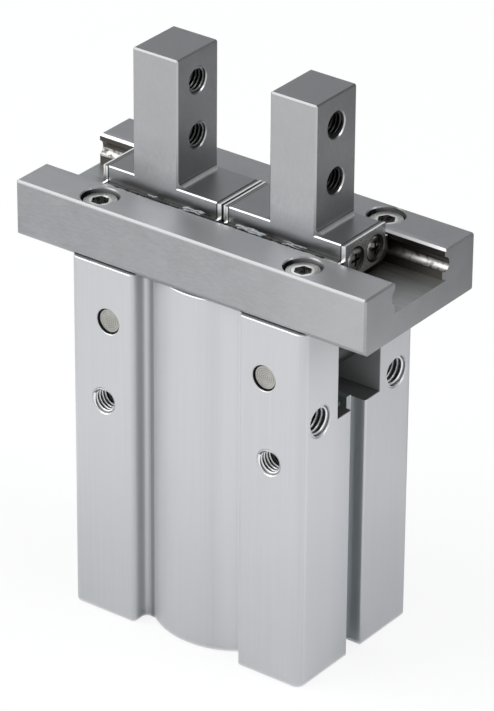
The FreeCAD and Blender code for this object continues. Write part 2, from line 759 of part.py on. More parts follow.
def finger():
    """Right finger: a base that runs in the channel and a prong with two threads through it."""
    body = bar_of_section(base_section(), base_inner_x, base_length).fuse(prong())
    prong_x = (prong_inner_x, prong_inner_x + prong_width)
    feet = [(x, None, base_top) for x in prong_x]
    body = body.makeFillet(prong_foot_fillet, edges_at(body, feet, "Y"))
    cuts = plate_screw_holes()
    for drop in (finger_thread_from_top, finger_thread_from_top + finger_thread_spacing):
        start = at(prong_x[0], 0, prong_top - drop)
        end = at(prong_x[1], 0, prong_top - drop)
        cuts.append(through_hole(start, end, finger_thread_diameter / 2, thread_mouth_chamfer))
    slot_half = lever_tip_radius + finger_slot_side_gap
    slot_x = (tip_closed_x - slot_half, tip_closed_x + slot_half)
    slot_y = (-finger_slot_width / 2, finger_slot_width / 2)
    cuts.append(block(slot_x, slot_y, (base_bottom - cut_margin, tip_top_height + finger_slot_roof_gap)))
    return body.cut(cuts)


def countersinks():
    """Cuts for the two screw heads at the outer end of the right finger."""
    cuts = []
    radius = plate_screw_diameter / 2
    depth = countersink_radius - radius
    for y in (-plate_screw_half_spacing, plate_screw_half_spacing):
        mouth = at(stack_outer_x, y, plate_screw_z)
        cuts.append(Part.makeCone(countersink_radius, radius, depth, mouth, X * -1))
        cuts.append(Part.makeCylinder(radius + fit, stack_thickness + depth, mouth, X * -1))
    return cuts


def end_plate():
    """Cover at the outer end of the right finger, rounded about its screws."""
    low = base_bottom + end_plate_bottom_gap
    wide = end_plate_half_width
    plate = block((stack_outer_x - end_plate_thickness, stack_outer_x), (-wide, wide), (low, base_top))
    corner_edges = edges_at(plate, [(None, y, low) for y in (-wide, wide)], "X")
    return plate.makeFillet(end_plate_corner_radius, corner_edges).cut(countersinks())


def ball_stop():
    """Wider thin plate behind the end plate, which keeps the balls in their grooves."""
    seal_face = base_outer_x + end_seal_thickness
    span = (seal_face, seal_face + ball_stop_thickness)
    shoulder = rail_top - base_shoulder_drop
    wide = ball_stop_lower_half_width
    corner = ball_stop_corner_radius
    lower = block(span, (-wide, wide), (base_bottom, shoulder))
    lower = lower.makeFillet(corner, edges_at(lower, [(None, y, base_bottom) for y in (-wide, wide)], "X"))
    upper_z = (base_bottom + corner, base_top - ball_stop_top_gap)
    upper = block(span, (-base_half_width, base_half_width), upper_z)
    return upper.fuse(lower).removeSplitter().cut(countersinks())


def end_seal():
    """Dark sheet between the ball stop and the base, a little smaller than both."""
    span = (base_outer_x, base_outer_x + end_seal_thickness)
    shoulder = rail_top - base_shoulder_drop - end_seal_inset
    wide = base_lower_half_width - end_seal_inset
    narrow = base_half_width - end_seal_inset
    lower = block(span, (-wide, wide), (base_bottom + end_seal_inset, shoulder))
    upper = block(span, (-narrow, narrow), (base_bottom + end_seal_inset, base_top - end_seal_inset))
    return upper.fuse(lower).removeSplitter().cut(countersinks())


def plate_screw(y):
    """Raised countersunk screw with a cross recess, at the outer end of the right finger."""
    radius = plate_screw_diameter / 2
    sink = countersink_radius - plate_screw_head_radius
    head_x = stack_outer_x - sink
    crown_x = head_x + plate_screw_dome
    cone_depth = plate_screw_head_radius - radius
    cone = Part.makeCone(plate_screw_head_radius, radius, cone_depth, at(head_x, y, plate_screw_z), X * -1)
    sphere_radius = (plate_screw_head_radius ** 2 + plate_screw_dome ** 2) / (2 * plate_screw_dome)
    sphere = Part.makeSphere(sphere_radius, at(crown_x - sphere_radius, y, plate_screw_z))
    reach = plate_screw_head_radius + cut_margin
    above = Part.makeCylinder(reach, plate_screw_dome + cut_margin, at(head_x, y, plate_screw_z), X)
    cap = sphere.common(above)
    shank_length = stack_thickness + plate_screw_length - sink - cone_depth - plate_screw_end_gap
    shank = Part.makeCylinder(radius, shank_length, at(head_x - cone_depth, y, plate_screw_z), X * -1)
    screw = cone.fuse([cap, shank])
    half = plate_screw_cross_length / 2
    thin = plate_screw_cross_width / 2
    cross_x = (crown_x - plate_screw_cross_depth, crown_x + cut_margin)
    for wide, tall in ((half, thin), (thin, half)):
        cross_z = (plate_screw_z - tall, plate_screw_z + tall)
        screw = screw.cut(block(cross_x, (y - wide, y + wide), cross_z))
    return screw


def at_inner_end(shape):
    """The piece of the outer end, turned round for the inner end of the same finger."""
    copy = shape.copy()
    copy.rotate(at((base_inner_x + base_outer_x) / 2, 0, 0), Z, 180)
    return copy


def ball_row(side):
    """Balls between the right finger and one wall of the channel, half a finger travel long to spare."""
    pitch = ball_diameter + fit
    start = (base_inner_x + base_outer_x) / 2 + finger_travel / 4 - pitch * (balls_per_row - 1) / 2
    y = side * groove_half_spacing
    places = [at(start + i * pitch, y, groove_z) for i in range(balls_per_row)]
    return Part.makeCompound([Part.makeSphere(ball_diameter / 2, place) for place in places])


def pair(parts, name, shape):
    """The right piece and the same piece turned round for the left."""
    parts[name + "_right"] = shape
    parts[name + "_left"] = turned(shape)


def main():
    parts = {
        "housing": housing(),
        "guide_rail": guide_rail(),
        "rod_seal": rod_seal(),
        "seal_support": seal_support(),
        "support_clip": support_clip(),
        "end_cap": end_cap(),
        "cap_seal": cap_seal(),
        "retaining_ring": retaining_ring(),
        "closing_bumper": closing_bumper(),
        "opening_bumper": opening_bumper(),
        "piston": piston(),
        "piston_seal": piston_seal(),
        "magnet": magnet(),
        "piston_rod": piston_rod(),
        "piston_nut": piston_nut(),
        "joint_pin": joint_pin(),
        "pin_roller_rear": pin_roller(),
        "pin_roller_front": turned(pin_roller()),
        "passage_plug_right": passage_plug(),
        "passage_plug_left": passage_plug().mirror(ORIGIN, X),
    }
    names = ("front_right", "rear_right", "front_left", "rear_left")
    for name, (x, y) in zip(names, corners(rail_screw_spacing_x, rail_screw_spacing_y)):
        parts["rail_screw_" + name] = rail_screw(x, y)
    pair(parts, "lever_shaft", lever_shaft())
    pair(parts, "lever", lever())
    pair(parts, "finger", finger())
    pair(parts, "end_plate_outer", end_plate())
    pair(parts, "end_plate_inner", at_inner_end(end_plate()))
    pair(parts, "ball_stop_outer", ball_stop())
    pair(parts, "ball_stop_inner", at_inner_end(ball_stop()))
    pair(parts, "end_seal_outer", end_seal())
    pair(parts, "end_seal_inner", at_inner_end(end_seal()))
    screws = Part.makeCompound([plate_screw(side * plate_screw_half_spacing) for side in (-1, 1)])
    pair(parts, "plate_screws_outer", screws)
    pair(parts, "plate_screws_inner", at_inner_end(screws))
    parts["ball_row_front_right"] = ball_row(-1)
    parts["ball_row_rear_right"] = ball_row(1)
    parts["ball_row_front_left"] = turned(ball_row(1))
    parts["ball_row_rear_left"] = turned(ball_row(-1))
    os.makedirs("parts", exist_ok=True)
    for name, shape in parts.items():
        shape.exportStep("parts/" + name + ".step")
    print("piston travel", round(piston_travel, 3), "lever swing", round(2 * half_swing, 3))


main()
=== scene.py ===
import math
import random

import bpy
from mathutils import Matrix, Vector


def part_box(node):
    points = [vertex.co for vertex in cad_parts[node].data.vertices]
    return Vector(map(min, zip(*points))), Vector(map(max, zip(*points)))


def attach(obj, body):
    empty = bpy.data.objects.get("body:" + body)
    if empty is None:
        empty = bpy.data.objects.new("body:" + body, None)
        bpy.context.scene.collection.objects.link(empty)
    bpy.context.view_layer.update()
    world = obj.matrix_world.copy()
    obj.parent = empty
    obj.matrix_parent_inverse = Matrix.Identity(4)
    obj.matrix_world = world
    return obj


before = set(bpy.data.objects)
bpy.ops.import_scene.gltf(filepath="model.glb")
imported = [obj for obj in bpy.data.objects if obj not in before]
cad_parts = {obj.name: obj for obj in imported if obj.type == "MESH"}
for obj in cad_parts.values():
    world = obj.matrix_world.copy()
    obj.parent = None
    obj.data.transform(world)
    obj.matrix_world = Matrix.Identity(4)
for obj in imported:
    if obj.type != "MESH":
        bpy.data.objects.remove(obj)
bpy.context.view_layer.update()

# The bench: the gripper stands on its cap end on a wide pale top, seen from its right front corner by a
# long lens. Four soft lamps light it, the strongest from the front left. Grey screens, cards and cloths
# that show only in mirroring faces give the metal something darker to mirror than the white room.
look_at = Vector((0.000747, 0.000555, 0.05274))
lens_turn = math.radians(36.619)
lens_rise = math.radians(28.385)
lens_roll = math.radians(0.423)
lens_distance = 0.81972

towards_lens = Vector((math.sin(lens_turn) * math.cos(lens_rise),
                       -math.cos(lens_turn) * math.cos(lens_rise),
                       math.sin(lens_rise)))
level_right = Vector((math.cos(lens_turn), math.sin(lens_turn), 0))
level_up = towards_lens.cross(level_right)
lens_right = math.cos(lens_roll) * level_right + math.sin(lens_roll) * level_up
lens_up = math.cos(lens_roll) * level_up - math.sin(lens_roll) * level_right
camera = bpy.data.objects.new("camera", bpy.data.cameras.new("camera"))
camera.data.lens = 229.67
camera.data.clip_start = 0.05
camera.data.clip_end = 50
camera.matrix_world = Matrix.Translation(look_at + towards_lens * lens_distance) @ Matrix(
    (lens_right, lens_up, towards_lens)).transposed().to_4x4()
bpy.context.scene.collection.objects.link(camera)
bpy.context.scene.camera = camera
bpy.context.scene.view_settings.view_transform = "Standard"


def seen_directly(nodes, links):
    """1 for rays that show the background itself: to the lens, in polished metal and through glass."""
    path = nodes.new("ShaderNodeLightPath")
    seen = path.outputs["Is Camera Ray"]
    for ray in ("Is Glossy Ray", "Is Transmission Ray"):
        wider = nodes.new("ShaderNodeMath")
        wider.operation = "MAXIMUM"
        links.new(seen, wider.inputs[0])
        links.new(path.outputs[ray], wider.inputs[1])
        seen = wider.outputs[0]
    return seen


room = bpy.data.worlds.new("room")
room.use_nodes = True
room_nodes = room.node_tree.nodes
room_links = room.node_tree.links
room_air = room_nodes["Background"]
room_air.inputs["Color"].default_value = (0.93, 0.96, 1.0, 1)
room_air.inputs["Strength"].default_value = 0.55
room_white = room_nodes.new("ShaderNodeBackground")
room_white.inputs["Color"].default_value = (1, 1, 1, 1)
room_mix = room_nodes.new("ShaderNodeMixShader")
room_links.new(seen_directly(room_nodes, room_links), room_mix.inputs[0])
room_links.new(room_air.outputs[0], room_mix.inputs[1])
room_links.new(room_white.outputs[0], room_mix.inputs[2])
room_links.new(room_mix.outputs[0], room_nodes["World Output"].inputs["Surface"])
bpy.context.scene.world = room


def shader_of(made):
    """The shader that gives a finish its colour, its gloss and its relief."""
    return made.node_tree.nodes["Principled BSDF"]


def finish(name, colour, roughness, metallic=1):
    """A finish of one colour and one gloss: bare metal, unless it says how metallic it is."""
    made = bpy.data.materials.new(name)
    made.use_nodes = True
    shader = shader_of(made)
    shader.inputs["Base Color"].default_value = (*colour, 1)
    shader.inputs["Metallic"].default_value = metallic
    shader.inputs["Roughness"].default_value = roughness
    return made


def placed(centre, facing):
    """Where a flat thing is when it lies round a centre and faces a direction."""
    turned = Vector(facing).to_track_quat("Z", "Y").to_matrix().to_4x4()
    return Matrix.Translation(centre) @ turned


def flat_sheet(name, centre, width, height, facing, made):
    """A flat rectangle that faces a direction."""
    mesh = bpy.data.meshes.new(name)
    half_w = width / 2
    half_h = height / 2
    corners = [(-half_w, -half_h, 0), (half_w, -half_h, 0), (half_w, half_h, 0), (-half_w, half_h, 0)]
    mesh.from_pydata(corners, [], [(0, 1, 2, 3)])
    mesh.materials.append(made)
    sheet = bpy.data.objects.new(name, mesh)
    sheet.matrix_world = placed(centre, facing)
    bpy.context.scene.collection.objects.link(sheet)
    return sheet


bench_width = 8
bench_top_z = -0.0002
paint = finish("bench_paint", (0.9, 0.9, 0.9), 0.9, metallic=0)
paint_nodes = paint.node_tree.nodes
paint_links = paint.node_tree.links
paint_glow = paint_nodes.new("ShaderNodeEmission")
paint_share = paint_nodes.new("ShaderNodeMath")
paint_share.operation = "MULTIPLY"
paint_share.inputs[1].default_value = 0.82
paint_mix = paint_nodes.new("ShaderNodeMixShader")
paint_links.new(seen_directly(paint_nodes, paint_links), paint_share.inputs[0])
paint_links.new(paint_share.outputs[0], paint_mix.inputs[0])
paint_links.new(shader_of(paint).outputs[0], paint_mix.inputs[1])
paint_links.new(paint_glow.outputs[0], paint_mix.inputs[2])
paint_links.new(paint_mix.outputs[0], paint_nodes["Material Output"].inputs["Surface"])
flat_sheet("bench_top", (0, 0, bench_top_z), bench_width, bench_width, (0, 0, 1), paint)


def soft_lamp(name, direction, distance, size, watts):
    """A square lamp that hangs off the gripper in a direction and faces it."""
    lamp = bpy.data.objects.new(name, bpy.data.lights.new(name, "AREA"))
    lamp.data.shape = "SQUARE"
    lamp.data.size = size
    lamp.data.energy = watts
    away = Vector(direction).normalized()
    lamp.matrix_world = placed(look_at + away * distance, away)
    bpy.context.scene.collection.objects.link(lamp)


soft_lamp("front_left_lamp", (-0.525, -0.475, 0.706), 1.3, 0.9, 9)
soft_lamp("top_lamp", (0.25, 0.1, 1), 1.4, 0.8, 3)
soft_lamp("right_lamp", (0.9, 0.12, 0.55), 1.3, 0.7, 5)
soft_lamp("left_lamp", (-0.9, -0.25, 0.3), 1.3, 0.7, 1.4)


def screen(name, centre, width, height, facing, shade):
    """A dull grey sheet that shows only in mirroring faces and throws no shadow."""
    cloth = finish(name, (shade, shade, shade), 1, metallic=0)
    shader_of(cloth).inputs["Specular IOR Level"].default_value = 0
    sheet = flat_sheet(name, centre, width, height, facing, cloth)
    sheet.visible_camera = False
    sheet.visible_diffuse = False
    sheet.visible_shadow = False


screen("grey_screen", (0.16, 0.21, 0.16), 0.5, 0.32, (-0.6, -0.8, 0), 0.12)
screen("grey_cloth", (0.2575, 0.305, 0.001), 0.405, 0.39, (0, 0, 1), 0.36)
screen("back_cloth", (0.03, 0.18, 0.001), 0.09, 0.24, (0, 0, 1), 0.45)
screen("right_card", (0.035, 0.13, 0.17), 0.14, 0.08, (0, -0.7, -0.7), 0.4)
screen("left_cloth", (-0.2, -0.02, 0.001), 0.2, 0.24, (0, 0, 1), 0.6)
screen("foot_cloth", (0, 0, 0.0005), 0.13, 0.11, (0, 0, 1), 0.6)
screen("pale_ceiling", (-0.45, 0.6, 0.55), 1.2, 0.9, (0.5, -0.7, -0.5), 0.6)


# Housing: one length of aluminium extrusion, milled and bored from both ends and then anodised clear.
# The anodising leaves a fine satin, with faint lines along the way it was drawn. Painted shade darkens
# the pocket, the slots, the flutes' walls and feet and the recess round each shaft's end. Painted light
# brightens a strip in each slot, the barrel's sides and the front of each end face.
def grain(made, lines, tone, gloss, depth, patches=0.35):
    """Marks left by the tool, drawn out along its lines, with wider cloudy patches among them."""
    shader = shader_of(made)
    nodes = made.node_tree.nodes
    links = made.node_tree.links
    place = nodes.new("ShaderNodeTexCoord")
    stretch = nodes.new("ShaderNodeMapping")
    stretch.inputs["Scale"].default_value = lines
    links.new(place.outputs["Object"], stretch.inputs["Vector"])
    fine = nodes.new("ShaderNodeTexNoise")
    fine.inputs["Scale"].default_value = 1
    fine.inputs["Detail"].default_value = 4
    links.new(stretch.outputs["Vector"], fine.inputs["Vector"])
    cloudy = nodes.new("ShaderNodeTexNoise")
    cloudy.inputs["Scale"].default_value = 170
    cloudy.inputs["Detail"].default_value = 5
    links.new(place.outputs["Object"], cloudy.inputs["Vector"])
    marks = nodes.new("ShaderNodeMix")
    marks.inputs["Factor"].default_value = patches
    links.new(fine.outputs["Fac"], marks.inputs["A"])
    links.new(cloudy.outputs["Fac"], marks.inputs["B"])
    colour = shader.inputs["Base Color"].default_value[:3]
    shade = nodes.new("ShaderNodeMix")
    shade.data_type = "RGBA"
    shade.inputs["A"].default_value = (*[c * (1 - tone) for c in colour], 1)
    shade.inputs["B"].default_value = (*[c * (1 + tone) for c in colour], 1)
    links.new(marks.outputs["Result"], shade.inputs["Factor"])
    links.new(shade.outputs["Result"], shader.inputs["Base Color"])
    spread = nodes.new("ShaderNodeMapRange")
    base = shader.inputs["Roughness"].default_value
    spread.inputs["To Min"].default_value = base - gloss
    spread.inputs["To Max"].default_value = base + gloss
    links.new(marks.outputs["Result"], spread.inputs["Value"])
    links.new(spread.outputs["Result"], shader.inputs["Roughness"])
    relief = nodes.new("ShaderNodeBump")
    relief.inputs["Strength"].default_value = depth
    relief.inputs["Distance"].default_value = 0.00002
    links.new(fine.outputs["Fac"], relief.inputs["Height"])
    links.new(relief.outputs["Normal"], shader.inputs["Normal"])


def step(made, operation, first, second=0.0):
    """One step of arithmetic on two values of a finish."""
    node = made.node_tree.nodes.new("ShaderNodeMath")
    node.operation = operation
    for socket, value in zip(node.inputs, (first, second)):
        if isinstance(value, float):
            socket.default_value = value
        else:
            made.node_tree.links.new(value, socket)
    return node.outputs[0]


def above(made, value, limit):
    """1 where a value is more than its limit."""
    return step(made, "GREATER_THAN", value, limit)


def below(made, value, limit):
    """1 where a value is less than its limit."""
    return step(made, "LESS_THAN", value, limit)


def size_of(made, value):
    """A value without its sign."""
    return step(made, "ABSOLUTE", value)


def ramp(made, value, start, end):
    """0 up to the start, 1 from the end on, and a straight slope between them."""
    slope = made.node_tree.nodes.new("ShaderNodeMapRange")
    slope.inputs["From Min"].default_value = start
    slope.inputs["From Max"].default_value = end
    made.node_tree.links.new(value, slope.inputs["Value"])
    return slope.outputs["Result"]


def all_of(made, *conditions):
    """1 where every condition holds."""
    met = conditions[0]
    for condition in conditions[1:]:
        met = step(made, "MULTIPLY", met, condition)
    return met


def band(made, value, start, full, fade, end):
    """0 outside the start and the end, 1 from full to fade, with a slope on either side."""
    return all_of(made, ramp(made, value, start, full), ramp(made, value, end, fade))


def place_on(made):
    """The place on the piece, as its distances along X, Y and Z from the frame's origin."""
    place = made.node_tree.nodes.new("ShaderNodeTexCoord")
    split = made.node_tree.nodes.new("ShaderNodeSeparateXYZ")
    made.node_tree.links.new(place.outputs["Object"], split.inputs[0])
    return split.outputs


def from_axes(made, axis, counted):
    """How far a place is from a line and its mirror images, with a 1 for each way across the line."""
    place = made.node_tree.nodes.new("ShaderNodeTexCoord")
    source = place.outputs["Object"]
    for operation, value in (("ABSOLUTE", None), ("MULTIPLY", counted), ("DISTANCE", axis)):
        node = made.node_tree.nodes.new("ShaderNodeVectorMath")
        node.operation = operation
        made.node_tree.links.new(source, node.inputs[0])
        if value:
            node.inputs[1].default_value = value
        source = node.outputs[0]
    return node.outputs["Value"]


def overlay(made, where, colour, roughness, cover=1.0):
    """Another tone and gloss where a condition holds. With less cover, the grain below still shows."""
    shader = shader_of(made)
    nodes = made.node_tree.nodes
    links = made.node_tree.links
    where = step(made, "MULTIPLY", where, cover)
    for name, kind, over in (("Base Color", "RGBA", (*colour, 1)), ("Roughness", "FLOAT", roughness)):
        mix = nodes.new("ShaderNodeMix")
        mix.data_type = kind
        links.new(where, mix.inputs["Factor"])
        low, high = [socket for socket in mix.inputs if socket.enabled and socket.name in "AB"]
        links.new(shader.inputs[name].links[0].from_socket, low)
        high.default_value = over
        result = [socket for socket in mix.outputs if socket.enabled][0]
        links.new(result, shader.inputs[name])


def dress(node, made):
    """The CAD node takes this finish in all its slots."""
    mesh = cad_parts[node].data
    mesh.materials.clear()
    mesh.materials.append(made)


anodised = finish("anodised_extrusion", (0.61, 0.618, 0.632), 0.44, metallic=0.6)
grain(anodised, (2200, 2200, 30), 0.06, 0.03, 0.25, patches=0.2)
end_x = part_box("housing")[1].x
shaft_axis = (0.0174, 0, 0.0611)
just_under_pocket = 0.0511
just_over_pocket_floor = 0.0513
pocket_reach = 0.0066
slot_reach = 0.00225
slot_depth = 0.0033
slot_rounding = (0.0004, 0.0011)
inner_slot_reach = 0.00105
barrel_reach = 0.0097
barrel_front = 0.0125
shaft_ends = 0.0155
shaft_hole_radius = 0.0025
housing_at = place_on(anodised)
sideways = size_of(anodised, housing_at["X"])
from_middle = size_of(anodised, housing_at["Y"])
from_end = step(anodised, "SUBTRACT", end_x, sideways)

# Painted shade: the pocket's walls and floor, the slots, the deeper inner slots and the shelf between them
# are painted darker.
at_pocket = above(anodised, housing_at["Z"], just_under_pocket)
in_pocket = all_of(anodised, at_pocket, above(anodised, from_end, 0.0002),
                   below(anodised, from_middle, pocket_reach))
overlay(anodised, in_pocket, (0.45, 0.47, 0.465), 0.36)
pocket_floor = all_of(anodised, in_pocket, below(anodised, housing_at["Z"], just_over_pocket_floor))
overlay(anodised, pocket_floor, (0.16, 0.16, 0.158), 0.4)
in_slot = all_of(anodised, step(anodised, "SUBTRACT", 1.0, at_pocket),
                 below(anodised, from_middle, slot_reach), ramp(anodised, from_end, *slot_rounding))
overlay(anodised, in_slot, (0.43, 0.46, 0.48), 0.44)
inner_slot = all_of(anodised, below(anodised, from_middle, slot_reach),
                    above(anodised, from_end, slot_depth))
overlay(anodised, inner_slot, (0.21, 0.24, 0.235), 0.5)
shelf = all_of(anodised, inner_slot, below(anodised, from_end, slot_depth + 0.0002),
               above(anodised, from_middle, inner_slot_reach))
overlay(anodised, shelf, (0.12, 0.13, 0.13), 0.5)
housing_x_by_y = step(anodised, "MULTIPLY", housing_at["X"], housing_at["Y"])
# Painted light: the far half of each slot's shelf is painted bright, as lit from the right.
far_shelf_light = all_of(anodised, shelf, above(anodised, housing_x_by_y, 0.0))
overlay(anodised, far_shelf_light, (0.9, 0.91, 0.92), 0.35)

# Painted light: the barrel's sides and the front of each end face are painted lighter.
barrel_side_light = all_of(anodised, ramp(anodised, sideways, 0.0055, 0.009),
                     below(anodised, sideways, barrel_reach), above(anodised, from_middle, barrel_front))
overlay(anodised, barrel_side_light, (0.84, 0.848, 0.862), 0.46, cover=0.6)
front_half_light = all_of(anodised, below(anodised, from_end, 0.0001),
                            ramp(anodised, housing_at["Y"], -0.0025, -0.008))
overlay(anodised, front_half_light, (0.71, 0.718, 0.732), 0.44, cover=0.6)
# Painted shade: the flutes' walls and feet are painted darker.
flute_wall_shade = all_of(anodised, band(anodised, sideways, 0.0114, 0.0117, 0.0119, 0.0121),
                    band(anodised, from_middle, 0.0135, 0.0138, 0.0152, 0.0162))
overlay(anodised, flute_wall_shade, (0.43, 0.438, 0.452), 0.44)
flute_foot_shade = all_of(anodised, band(anodised, sideways, 0.0096, 0.0099, 0.0104, 0.0106),
                    band(anodised, from_middle, 0.0128, 0.0131, 0.0141, 0.0146))
overlay(anodised, flute_foot_shade, (0.36, 0.368, 0.38), 0.44)
# Painted shadow: the recess round each shaft's end is painted near black.
from_shaft = from_axes(anodised, shaft_axis, (1, 0, 1))
shade_round_shafts = all_of(anodised, below(anodised, from_shaft, shaft_hole_radius),
                          above(anodised, from_middle, shaft_ends))
overlay(anodised, shade_round_shafts, (0.02, 0.02, 0.02), 0.4)
dress("housing", anodised)


# Threads in the housing: cut with taps after the anodising, so their flanks are bright bare aluminium.
# Two M5 holes in front take the air fittings, two M6 holes are in the right end face and four M5 holes
# underneath. Their crests and roots and the turns further in are painted dark as shade.
m5 = (0.0025, 0.0008)
m6 = (0.003, 0.001)


def tapped(name, mouth, inward, radius_and_pitch, length, body, finishes, both_ends=False):
    """A thread inside a hole of the CAD.

    Its three finishes are for the flanks, for the painted shade on its crests, roots and part of each
    flank, and for the painted shade further in.
    """
    radius, pitch = radius_and_pitch
    columns = 48
    chamfer = 0.0002
    clear_of_hole = 0.00002
    thread_depth = 0.54
    root = radius - clear_of_hole
    crest = radius - thread_depth * pitch
    profile = ((0.0, root), (0.125, root), (0.28, (root + crest) / 2), (0.4375, crest), (0.6875, crest))
    # Painted shade: the root, the root half of the first flank and the crest take the second finish, and
    # the turns past bright_turns take the third.
    bright_flanks = (2, 4)
    mouth_slope = 3
    bright_turns = 4
    turns = math.ceil(length / pitch) + 1
    rows = [(turn + part, wall) for turn in range(-1, turns) for part, wall in profile]
    deepest = length - chamfer if both_ends else length
    points = []
    for column in range(columns):
        angle = 2 * math.pi * column / columns
        for turn, wall in rows:
            depth = min(max((turn + column / columns) * pitch, chamfer), deepest)
            from_mouth = min(depth, length - depth) if both_ends else depth
            opening = radius - mouth_slope * (from_mouth - chamfer)
            reach = min(max(wall, opening), root)
            points.append((reach * math.cos(angle), reach * math.sin(angle), depth))
    per_column = len(rows)
    faces = []
    finish_of_faces = []
    for column in range(columns):
        shift = 0 if column < columns - 1 else len(profile)
        here = column * per_column
        beside = (column + 1) % columns * per_column + shift
        for row in range(per_column - 1 - shift):
            faces.append((here + row, here + row + 1, beside + row + 1, beside + row))
            turn = rows[row][0]
            in_mouth = (turn + column / columns) * pitch < chamfer
            if in_mouth:
                finish_of_faces.append(0)
            elif turn > bright_turns:
                finish_of_faces.append(2)
            elif row % len(profile) in bright_flanks:
                finish_of_faces.append(0)
            else:
                finish_of_faces.append(1)
    mesh = bpy.data.meshes.new(name)
    mesh.from_pydata(points, [], faces)
    for made in finishes:
        mesh.materials.append(made)
    mesh.polygons.foreach_set("material_index", finish_of_faces)
    turn_in = Vector(inward).to_track_quat("Z", "X").to_matrix().to_4x4()
    mesh.transform(Matrix.Translation(mouth) @ turn_in)
    thread = bpy.data.objects.new(name, mesh)
    bpy.context.scene.collection.objects.link(thread)
    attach(thread, body)


cut_aluminium = finish("cut_aluminium", (0.88, 0.89, 0.9), 0.28, metallic=0.5)
grain(cut_aluminium, (9000, 9000, 9000), 0.06, 0.05, 0.1)
# Painted shade: these two finishes darken the threads' crests and roots and their deeper turns.
thread_shade_aluminium = finish("thread_shade_aluminium", (0.2, 0.205, 0.21), 0.34)
grain(thread_shade_aluminium, (5000, 5000, 5000), 0.25, 0.06, 0.2)
thread_shade_metal = finish("painted_thread_shade", (0.05, 0.05, 0.05), 0.3)
grain(thread_shade_metal, (5000, 5000, 5000), 0.3, 0.08, 0.2)
aluminium_thread = (cut_aluminium, thread_shade_aluminium, thread_shade_metal)
front_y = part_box("housing")[0].y
air_port_x = 0.0186
air_port_z = 0.0445
bottom_thread_x = 0.021
bottom_thread_y = 0.0118
end_thread_y = 0.0116
end_thread_z = 0.053
port_length = 0.0062
mount_length = 0.0078
for side, word in ((1, "right"), (-1, "left")):
    tapped("air_port_thread_" + word, (side * air_port_x, front_y, air_port_z), (0, 1, 0),
           m5, port_length, "root", aluminium_thread)
    for y, place in ((-bottom_thread_y, "front"), (bottom_thread_y, "rear")):
        tapped("bottom_thread_" + place + "_" + word, (side * bottom_thread_x, y, 0), (0, 0, 1),
               m5, mount_length, "root", aluminium_thread)
for y, place in ((-end_thread_y, "front"), (end_thread_y, "rear")):
    tapped("end_thread_" + place, (end_x, y, end_thread_z), (-1, 0, 0),
           m6, mount_length, "root", aluminium_thread)


# Cylinder parts: cap, retaining ring, plugs, seals, piston and rod, all inside the housing.
# The cap, the ring and the plugs show from below, the rod's eye and its pin through the end windows.
turned_aluminium = finish("turned_aluminium", (0.60, 0.61, 0.62), 0.3)
grain(turned_aluminium, (700, 700, 3000), 0.05, 0.05, 0.2)
for node in ("end_cap", "piston", "seal_support"):
    dress(node, turned_aluminium)

black_steel = finish("phosphated_spring_steel", (0.09, 0.09, 0.095), 0.45)
grain(black_steel, (1500, 1500, 1500), 0.2, 0.06, 0.2)
for node in ("retaining_ring", "support_clip"):
    dress(node, black_steel)

chromed = finish("ground_chromed_steel", (0.55, 0.56, 0.57), 0.15)
grain(chromed, (900, 900, 5000), 0.04, 0.03, 0.05)
for node in ("piston_rod", "piston_nut", "joint_pin", "pin_roller_front", "pin_roller_rear"):
    dress(node, chromed)

plug_steel = finish("turned_plug_steel", (0.42, 0.42, 0.42), 0.3)
grain(plug_steel, (2500, 2500, 2500), 0.08, 0.05, 0.1)
for node in ("passage_plug_left", "passage_plug_right"):
    dress(node, plug_steel)

rubber = finish("black_rubber", (0.03, 0.03, 0.03), 0.55, metallic=0)
grain(rubber, (1800, 1800, 1800), 0.25, 0.08, 0.2)
for node in ("rod_seal", "cap_seal", "piston_seal", "closing_bumper", "opening_bumper", "magnet"):
    dress(node, rubber)


# Levers: two bell cranks of hardened steel on ground shafts that are pressed through the housing's walls.
# The shafts' ends lie just below the faces, turned in fine rings that are worn away in patches.
def blotches(made, scale, start, end):
    """Uneven patches or streaks: a noise that runs from 0 to 1 between two of its values."""
    place = made.node_tree.nodes.new("ShaderNodeTexCoord")
    stretch = made.node_tree.nodes.new("ShaderNodeMapping")
    stretch.inputs["Scale"].default_value = scale
    made.node_tree.links.new(place.outputs["Object"], stretch.inputs["Vector"])
    noise = made.node_tree.nodes.new("ShaderNodeTexNoise")
    noise.inputs["Scale"].default_value = 1
    noise.inputs["Detail"].default_value = 3
    made.node_tree.links.new(stretch.outputs["Vector"], noise.inputs["Vector"])
    return ramp(made, noise.outputs["Fac"], start, end)


def turned_rings(made, from_axis, closeness):
    """Rings left by turning, as a wave from -1 to 1; the closeness is in radians for each metre."""
    return step(made, "SINE", step(made, "MULTIPLY", from_axis, closeness))


lever_steel = finish("hardened_lever_steel", (0.10, 0.10, 0.105), 0.38)
grain(lever_steel, (1200, 1200, 1200), 0.2, 0.06, 0.2)
for node in ("lever_left", "lever_right"):
    dress(node, lever_steel)

shaft_steel = finish("ground_shaft_steel", (0.48, 0.475, 0.445), 0.42)
grain(shaft_steel, (1500, 1500, 1500), 0.25, 0.05, 0.3, patches=0.1)
from_shaft_centre = from_axes(shaft_steel, shaft_axis, (1, 0, 1))
shaft_rings = turned_rings(shaft_steel, from_shaft_centre, closeness=15000.0)
shaft_marks = all_of(shaft_steel, ramp(shaft_steel, shaft_rings, -0.2, 1.0),
                     blotches(shaft_steel, (700, 700, 700), 0.3, 0.6))
overlay(shaft_steel, shaft_marks, (0.25, 0.245, 0.225), 0.35)
for node in ("lever_shaft_left", "lever_shaft_right"):
    dress(node, shaft_steel)


